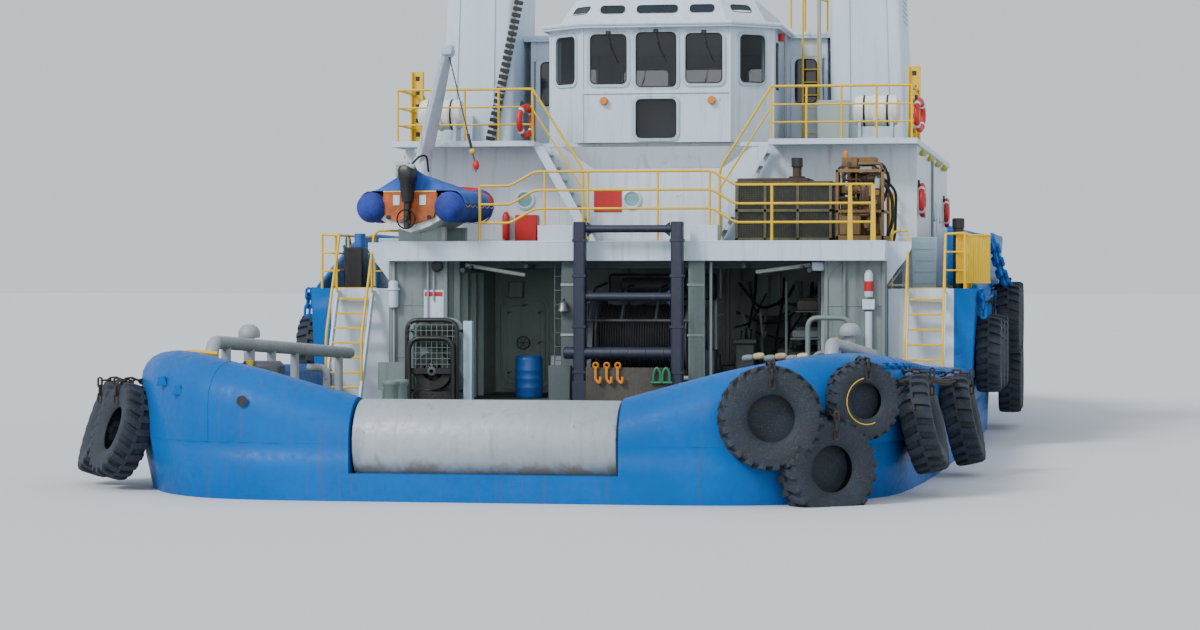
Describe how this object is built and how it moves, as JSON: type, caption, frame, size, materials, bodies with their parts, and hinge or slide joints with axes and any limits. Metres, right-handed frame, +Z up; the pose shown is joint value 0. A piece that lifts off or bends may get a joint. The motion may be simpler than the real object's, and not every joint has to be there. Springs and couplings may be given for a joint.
{
  "type": "tugboat",
  "caption": "Harbour tug with open aft deck, stern roller, tow winch in a shelter, tyre fenders, rescue boat and tall wheelhouse.",
  "frame": {"origin": "centreline at midships, on the waterline", "axes": "+X starboard, +Y forward to the bow, +Z up"},
  "size_m": [14.96, 39.1076, 18.35],
  "materials": {
    "hull_blue": "semi-gloss blue paint, scuffed and rust streaked",
    "roller_steel": "worn grey steel with rust",
    "propeller_bronze": "bronze",
    "tyre_rubber": "matt black rubber with heavy lugs",
    "casing_grey": "light grey paint",
    "frame_dark": "dark navy paint",
    "deck_green": "grey green paint",
    "black_paint": "black paint",
    "barrel_blue": "blue plastic",
    "pipe_grey": "grey paint",
    "rail_yellow": "yellow paint",
    "house_white": "white paint, slightly streaked",
    "raft_white": "white fibreglass",
    "boat_blue": "blue coated fabric tubes",
    "cover_olive": "weathered tarpaulin",
    "pack_ochre": "ochre paint, oily"
  },
  "bodies": {
    "hull": {"hull": "hull_blue", "keel": "hull_blue", "forecastle_aft": "hull_blue", "forecastle_middle": "hull_blue", "forecastle_bow": "hull_blue", "bow_bulwark": "hull_blue", "stern_bulwark_port": "hull_blue", "stern_bulwark_starboard": "hull_blue", "nozzle_port": "hull_blue", "nozzle_starboard": "hull_blue", "quarter_tyres_starboard": "tyre_rubber", "quarter_tyres_port": "tyre_rubber", "side_tyres_port": "tyre_rubber", "side_tyres_starboard": "tyre_rubber", "shelter_walls": "casing_grey", "tow_frame": "frame_dark", "winch_base": "frame_dark", "reel_frame": "deck_green", "barrel": "barrel_blue", "crash_rail_port": "pipe_grey", "crash_rail_starboard": "pipe_grey", "ladder_port": "rail_yellow", "ladder_starboard": "rail_yellow", "boat_deck": "house_white", "house": "house_white", "bridge_deck": "house_white", "stairs_port": "house_white", "stairs_starboard": "house_white", "funnel_port": "house_white", "funnel_starboard": "house_white", "raft_port": "raft_white", "raft_starboard": "raft_white", "wheelhouse_walls": "house_white", "wheelhouse_roof": "house_white", "wheelhouse_consoles": "black_paint", "mast": "house_white", "boat_deck_rail": "rail_yellow", "bridge_rail_port": "rail_yellow", "bridge_rail_starboard": "rail_yellow", "rescue_boat": "boat_blue", "boat_cradle": "casing_grey", "covered_box": "cover_olive", "power_pack": "pack_ochre", "windlass_base": "deck_green", "bollards_port": "deck_green", "bollards_starboard": "deck_green", "bow_fender": "tyre_rubber"},
    "roller": {"stern_roller": "roller_steel"},
    "prop_port": {"propeller_port": "propeller_bronze"},
    "prop_starboard": {"propeller_starboard": "propeller_bronze"},
    "rudder_port": {"rudder_port": "hull_blue"},
    "rudder_starboard": {"rudder_starboard": "hull_blue"},
    "winch_drum": {"winch_drum": "frame_dark"},
    "hose_reel": {"hose_reel": "black_paint"},
    "shelter_door": {"shelter_door": "casing_grey"},
    "wheelhouse_door_port": {"wheelhouse_door_port": "casing_grey"},
    "wheelhouse_door_starboard": {"wheelhouse_door_starboard": "casing_grey"},
    "radar": {"radar_scanner": "raft_white"},
    "davit": {"davit_arm": "casing_grey"},
    "windlass": {"windlass_drum": "deck_green"}
  },
  "joints": [
    {"name": "roller_spin", "type": "hinge", "parent": "hull", "child": "roller", "pos_m": [0, -18.05, 0.87], "axis": [1, 0, 0], "continuous": true},
    {"name": "prop_port_spin", "type": "hinge", "parent": "hull", "child": "prop_port", "pos_m": [-2.5, -15, -2.6], "axis": [0, 1, 0], "continuous": true},
    {"name": "prop_starboard_spin", "type": "hinge", "parent": "hull", "child": "prop_starboard", "pos_m": [2.5, -15, -2.6], "axis": [0, 1, 0], "continuous": true},
    {"name": "rudder_port_turn", "type": "hinge", "parent": "hull", "child": "rudder_port", "pos_m": [-2.5, -16.45, -2], "axis": [0, 0, 1], "range_deg": [-40, 40]},
    {"name": "rudder_starboard_turn", "type": "hinge", "parent": "hull", "child": "rudder_starboard", "pos_m": [2.5, -16.45, -2], "axis": [0, 0, 1], "range_deg": [-40, 40]},
    {"name": "winch_spin", "type": "hinge", "parent": "hull", "child": "winch_drum", "pos_m": [0, -2.2, 2.15], "axis": [1, 0, 0], "continuous": true},
    {"name": "reel_spin", "type": "hinge", "parent": "hull", "child": "hose_reel", "pos_m": [-3.99, -4.27, 1.5], "axis": [0, 1, 0], "continuous": true},
    {"name": "shelter_door_swing", "type": "hinge", "parent": "hull", "child": "shelter_door", "pos_m": [-3.65, 0.865, 1.955], "axis": [0, 0, 1], "range_deg": [-90, 0]},
    {"name": "wheelhouse_door_port_swing", "type": "hinge", "parent": "hull", "child": "wheelhouse_door_port", "pos_m": [-3.2, 2.365, 7.23], "axis": [0, 0, 1], "range_deg": [-95, 0]},
    {"name": "wheelhouse_door_starboard_swing", "type": "hinge", "parent": "hull", "child": "wheelhouse_door_starboard", "pos_m": [3.2, 2.365, 7.23], "axis": [0, 0, 1], "range_deg": [0, 95]},
    {"name": "radar_spin", "type": "hinge", "parent": "hull", "child": "radar", "pos_m": [0, 3.55, 11], "axis": [0, 0, 1], "continuous": true},
    {"name": "davit_slew", "type": "hinge", "parent": "hull", "child": "davit", "pos_m": [-4.8, -1.8, 5.4], "axis": [0, 0, 1], "range_deg": [-90, 15]},
    {"name": "windlass_spin", "type": "hinge", "parent": "hull", "child": "windlass", "pos_m": [0, 14.8, 4], "axis": [1, 0, 0], "continuous": true}
  ]
}
